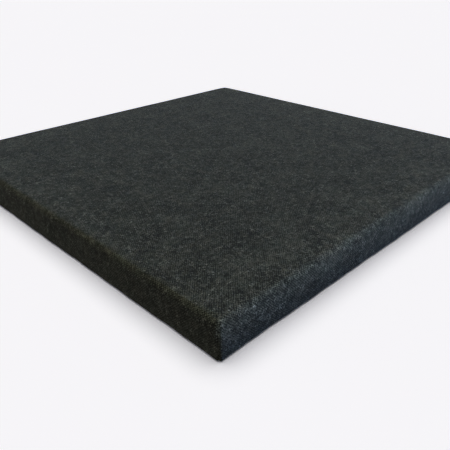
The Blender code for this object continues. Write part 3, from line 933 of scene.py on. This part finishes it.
def make_rings():
    """D-rings bent from round wire, butted in the middle of the bar."""
    half, bend = RING_INSIDE_WIDTH / 2 + WIRE / 2, 0.002
    right = arc(bend, -math.pi / 2, 0, 9, half - bend, bend)
    path = right + arc(half, 0, math.pi, 49, 0, RING_REACH - half)
    path += [(-x, y) for x, y in right[::-1]]
    path += [(x, 0.0) for x in np.linspace(-half + bend, half - bend, 14)[1:-1]]
    for side in SIDES:
        body = "ring_" + side
        bar = BARS[body]
        wire = bpy.data.curves.new("ring_wire", "CURVE")
        wire.dimensions = "3D"
        wire.bevel_depth, wire.bevel_resolution = WIRE / 2, 6
        spline = wire.splines.new("POLY")
        spline.points.add(len(path) - 1)
        for point, (x, y) in zip(spline.points, path):
            point.co = (bar.x + x, bar.y + y, bar.z, 1)
        spline.use_cyclic_u = True
        mesh = baked(new_object("ring_wire", wire))
        as_piece("wire_d_ring_" + side, mesh, PLATED, "d_ring_" + side, body)


make_pads()
make_strap_screws()
make_straps()
make_rings()


# Staples and frayed threads, set out by one tree that follows a rectangle

SIZES = ("Width", "Height", "Level", "Spacing", "Corner Clear", "Turn Spread", "Side Spread")


def rectangle_tree():
    """Copies of one object round a rectangle, jittered, and none close to the corners."""
    given = new_group("set_out_round_rectangle", {
        "Geometry": "Geometry",
        **dict.fromkeys((*SIZES, "Least Size"), "Float"),
        "Seed": "Int",
        "Copied": "Object",
        "Finish": "Material",
    }, use="Geometry")
    sides = {size: given[size] for size in ("Width", "Height")}
    outline = result("GeometryNodeCurvePrimitiveQuadrilateral", sides)
    spaced = {"Curve": outline, "Length": given["Spacing"]}
    points = add_node("GeometryNodeCurveToPoints", spaced, mode="LENGTH").outputs
    place = parts(result("GeometryNodeInputPosition", tree=outline.id_data))
    from_end = [
        maths("SUBTRACT", times(side, 0.5), maths("ABSOLUTE", part))
        for part, side in zip(place, sides.values())
    ]
    compared = {0: maths("MAXIMUM", *from_end), 1: given["Corner Clear"]}
    near = result("FunctionNodeCompare", compared, data_type="FLOAT", operation="LESS_THAN")
    thinned = {"Geometry": points["Points"], "Selection": near}
    kept = result("GeometryNodeDeleteGeometry", thinned, domain="POINT")

    def between(low, high, shift):
        inputs = {"Seed": maths("ADD", given["Seed"], shift), 2: low, 3: high}
        return add_node("FunctionNodeRandomValue", inputs, data_type="FLOAT").outputs[1]

    def either_way(name, shift):
        return between(times(given[name], -1.0), given[name], shift)

    about_z = {"Axis": (0.0, 0.0, 1.0), "Angle": either_way("Turn Spread", 1)}
    turn = result("FunctionNodeAxisAngleToRotation", about_z)
    tangent = {"Vector": points["Tangent"]}
    aligned = result("FunctionNodeAlignRotationToVector", tangent, axis="X")
    both = {"Rotation": aligned, "Rotate By": turn}
    turned = result("FunctionNodeRotateRotation", both, rotation_space="LOCAL")
    source = {"Object": given["Copied"], "As Instance": True}
    copied = add_node("GeometryNodeObjectInfo", source).outputs["Geometry"]
    set_out = result("GeometryNodeInstanceOnPoints", {
        "Points": kept,
        "Instance": copied,
        "Rotation": turned,
        "Scale": between(given["Least Size"], 1.0, 2),
    })
    sideways = [either_way("Side Spread", shift) for shift in (3, 4)]
    moved = result("GeometryNodeTranslateInstances", {
        "Instances": set_out,
        "Translation": joined(*sideways, given["Level"]),
        "Local Space": False,
    })
    real = result("GeometryNodeRealizeInstances", {"Geometry": moved})
    finished = {"Geometry": real, "Material": given["Finish"]}
    return ended({"Geometry": result("GeometryNodeSetMaterial", finished)}, "Geometry")


def set_out_round(tree, name, mesh, finish, sizes, least_size, seed):
    """A piece made of copies of a mesh, which the tree sets out round a rectangle."""
    copied = new_object("copied", mesh)
    carrier = new_object(name, bpy.data.meshes.new(name))
    modifier = carrier.modifiers.new(name, "NODES")
    modifier.node_group = tree
    values = {"Least Size": least_size, "Seed": seed, "Copied": copied, "Finish": finish}
    values.update(zip(SIZES, sizes))
    for item in tree.interface.items_tree:
        if item.in_out == "INPUT" and item.name in values:
            modifier[item.identifier] = values[item.name]
    made = baked(carrier)
    bpy.data.objects.remove(copied, do_unlink=True)
    return as_piece(name, made, finish)


def tube_mesh(name, path, radii, sides):
    """A tube along a path of points, with closed ends."""
    path = [Vector(point) for point in path]
    vertices = []
    for j, (point, radius) in enumerate(zip(path, radii)):
        ahead = (path[min(j + 1, len(path) - 1)] - path[max(j - 1, 0)]).normalized()
        side = ahead.orthogonal() if j == 0 else side - ahead * side.dot(ahead)
        side.normalize()
        up = ahead.cross(side)
        for i in range(sides):
            turn = math.tau * (i + 0.5) / sides
            vertices.append(point + (side * math.cos(turn) + up * math.sin(turn)) * radius)
    start, end = range(sides), range(len(vertices) - sides, len(vertices))
    faces = quads(len(path), sides, closed=True) + [tuple(start)[::-1], tuple(end)]
    return new_mesh(name, vertices, faces)


def make_staples(tree):
    """Crown staples through the cloth's return, into the frame's back."""
    end, bite, top = 0.0050, 0.0022, -0.00032
    path = [(-end, 0, bite), (-end, 0, top + 0.0005), (-end + 0.00015, 0, top + 0.00015)]
    path += [(-end + 0.0006, 0, top), (0, 0, top)]
    path += [(-x, 0, z) for x, _, z in path[-2::-1]]
    mesh = tube_mesh("staple", path, [0.00042] * len(path), 8)
    for vertex in mesh.vertices:  # flat wire, and flatter on the crown
        vertex.co.y *= 1.35
        if vertex.co.z < top + 0.0009:
            vertex.co.z = top + (vertex.co.z - top) * 0.75
    width = 2 * (COVER_HIGH.x - STAPLE_INSET)
    sizes = (width, width, COVER_LOW.z, STAPLE_PITCH, 0.020, 0.16, 0.0016)
    return set_out_round(
        tree, "return_staples", mesh, STAPLE_WIRE, sizes, least_size=0.97, seed=7
    )


def make_frayed_edge(tree):
    """Thread ends that have come loose along the cloth's cut edge."""
    path = [(0, -0.0010, 0.0001), (0, 0.0002, -0.0001), (0.0001, 0.0011, -0.0001)]
    path += [(0.0004, 0.0019, 0.0002), (0.0005, 0.0026, 0.0001)]
    mesh = tube_mesh("thread_end", path, [0.00013, 0.00015, 0.00013, 0.00010, 0.00005], 4)
    width = 2 * (COVER_HIGH.x - RETURN_WIDTH)
    sizes = (width, width, COVER_LOW.z + CLOTH_THICKNESS / 2, 0.0026, 0.004, 0.55, 0.0006)
    return set_out_round(
        tree, "frayed_edge", mesh, LOOSE_THREAD, sizes, least_size=0.35, seed=21
    )


SET_OUT = rectangle_tree()
STAPLES = make_staples(SET_OUT)
FRAYED_EDGE = make_frayed_edge(SET_OUT)

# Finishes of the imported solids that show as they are
for names, finish in (
    (("top_rail", "bottom_rail"), RAIL_TIMBER),
    (("left_stile", "right_stile"), STILE_TIMBER),
    (["gusset_" + name for name in CORNERS], PLYWOOD),
    (["lap_screw_" + name for name in CORNERS], PLATED),
):
    for name in names:
        frame["nodes"][name].data.materials[0] = finish


# The studio: a pale floor, a soft sky, and broad lamps

BACKGROUND = (0.922, 0.913, 0.939)
FLOOR_LIGHT = (0.829, 0.776, 0.590)  # what the overhead lamp and the sky give the bare floor


def make_floor():
    """A pale floor for the camera and for gloss, which keeps the panel's shadow. Seen from
    below it is clear, and the light that the sky sends up stands for its bounce."""
    shape = bmesh.new()
    bmesh.ops.create_grid(shape, x_segments=2, y_segments=2, size=40.0)
    floor = new_object("floor", mesh_of(shape, "floor"))
    made = bpy.data.materials.new("pale_floor")
    made.use_nodes = True
    tree = made.node_tree
    tree.nodes.remove(tree.nodes["Principled BSDF"])
    tone = [backdrop / light for backdrop, light in zip(BACKGROUND, FLOOR_LIGHT)]
    seen = result("ShaderNodeBsdfDiffuse", {"Color": tone}, tree)
    clear = result("ShaderNodeBsdfTransparent", tree=tree)
    behind = add_node("ShaderNodeNewGeometry", tree=tree).outputs["Backfacing"]
    mixed = result("ShaderNodeMixShader", {0: behind, 1: seen, 2: clear})
    give(tree.nodes["Material Output"], {"Surface": mixed})
    floor.data.materials.append(made)
    floor.visible_diffuse = False
    floor.visible_shadow = False
    return floor


def make_sky(base, glows):
    """An even sky with broad glows, each as (unit vector towards it, colour). The camera and
    gloss see the backdrop's flat tone in its place."""
    world = bpy.data.worlds.new("studio")
    world.use_nodes = True
    bpy.context.scene.world = world
    tree = world.node_tree
    tree.nodes.clear()
    direction = add_node("ShaderNodeTexCoord", tree=tree).outputs["Generated"]
    total = base
    for towards, colour in glows:
        facing = vectors("DOT_PRODUCT", direction, towards, out="Value")
        total = vectors("MULTIPLY_ADD", maths("MAXIMUM", facing, 0.0), colour, total)
    path = add_node("ShaderNodeLightPath", tree=tree).outputs
    seen = maths("ADD", path["Is Camera Ray"], path["Is Glossy Ray"])
    seen = maths("ADD", seen, path["Is Transmission Ray"], clamp=True)
    light = result("ShaderNodeBackground", {"Color": total})
    backdrop = result("ShaderNodeBackground", {"Color": BACKGROUND}, tree)
    mixed = result("ShaderNodeMixShader", {0: seen, 1: light, 2: backdrop})
    add_node("ShaderNodeOutputWorld", {"Surface": mixed})


def not_on(lamp, floor):
    """The lamp leaves the floor out, so that the backdrop stays even."""
    lit = bpy.data.collections.new(lamp.name + "_lights")
    lit.objects.link(floor)
    lit.collection_objects[0].light_linking.link_state = "EXCLUDE"
    lamp.light_linking.receiver_collection = lit


def place_lamp(name, data, place, towards):
    lamp = new_object(name, data)
    lamp.location = place
    lamp.rotation_mode = "QUATERNION"
    lamp.rotation_quaternion = Vector(towards).to_track_quat("Z", "Y")
    return lamp


def make_sun(name, towards, share, colour, angle):
    """A broad far lamp. Share is the light that it gives a white surface facing it."""
    data = bpy.data.lights.new(name, "SUN")
    data.energy = share * math.pi
    data.color = colour
    data.angle = math.radians(angle)
    return place_lamp(name, data, (0.0, 0.0, 2.0), towards)


def make_strip(name, low_edge, dip, energy, colour):
    """A long soft box with a grid, level with the panel's right side, whose light starts
    above the floor and leaves the foot of that side darker. It dips towards its far end."""
    data = bpy.data.lights.new(name, "AREA")
    data.shape = "RECTANGLE"
    data.size, data.size_y = 2.4, 0.30
    data.spread = math.radians(5.5)
    data.energy = energy
    data.color = colour
    lamp = place_lamp(name, data, (0.0, -1.1, low_edge + data.size_y / 2), (0.0, -1.0, 0.0))
    lamp.rotation_quaternion @= Quaternion((0.0, 0.0, 1.0), -math.radians(dip))
    return lamp


FLOOR = make_floor()
make_sky(
    (0.03, 0.03, 0.03),
    [((-1.0, 0.0, 0.0), (0.25, 0.225, 0.185)), ((0.0, 0.0, -1.0), (0.10, 0.10, 0.10))],
)
make_sun("overhead_softbox", (0.05, 0.05, 1.0), 0.70, (1.07, 1.0, 0.745), 74)
for lamp in (
    make_sun("front_window", (0.42, -0.55, 1.0), 0.075, (1.0, 1.0, 0.70), 30),
    make_sun("right_window", (0.825, -0.417, 0.28), 0.485, (0.56, 1.0, 2.07), 40),
    make_sun("far_window", (1.0, 0.25, 0.35), 0.12, (1.0, 1.0, 1.0), 40),
    make_sun("light_from_below", (0.30, 0.35, -1.0), 0.72, (1.0, 1.0, 1.0), 30),
    make_strip("low_strip", 0.0330, 0.8, 3.65, (0.91, 1.0, 1.09)),
):
    not_on(lamp, FLOOR)


def make_camera():
    """The photograph's view: level turn, tilt and roll, and the lens that its edges give."""
    turn, tilt, roll = (math.radians(angle) for angle in (45.52, 27.94, -0.44))
    level = Vector((math.cos(turn), math.sin(turn), 0.0)) * math.cos(tilt)
    ahead = level - Vector((0.0, 0.0, math.sin(tilt)))
    right = Vector((math.sin(turn), -math.cos(turn), 0.0))
    up = right.cross(ahead)
    right_rolled = right * math.cos(roll) + up * math.sin(roll)
    up_rolled = up * math.cos(roll) - right * math.sin(roll)
    place = Matrix((right_rolled, up_rolled, -ahead)).transposed().to_4x4()
    place.translation = (-0.5280, -0.5406, 0.3111)
    camera = bpy.data.cameras.new("camera")
    camera.sensor_width, camera.lens = 36.0, 40.89
    camera.clip_start, camera.clip_end = 0.01, 100.0
    obj = new_object("camera", camera)
    obj.matrix_world = place
    bpy.context.scene.camera = obj


make_camera()
bpy.context.scene.view_settings.view_transform = "Standard"
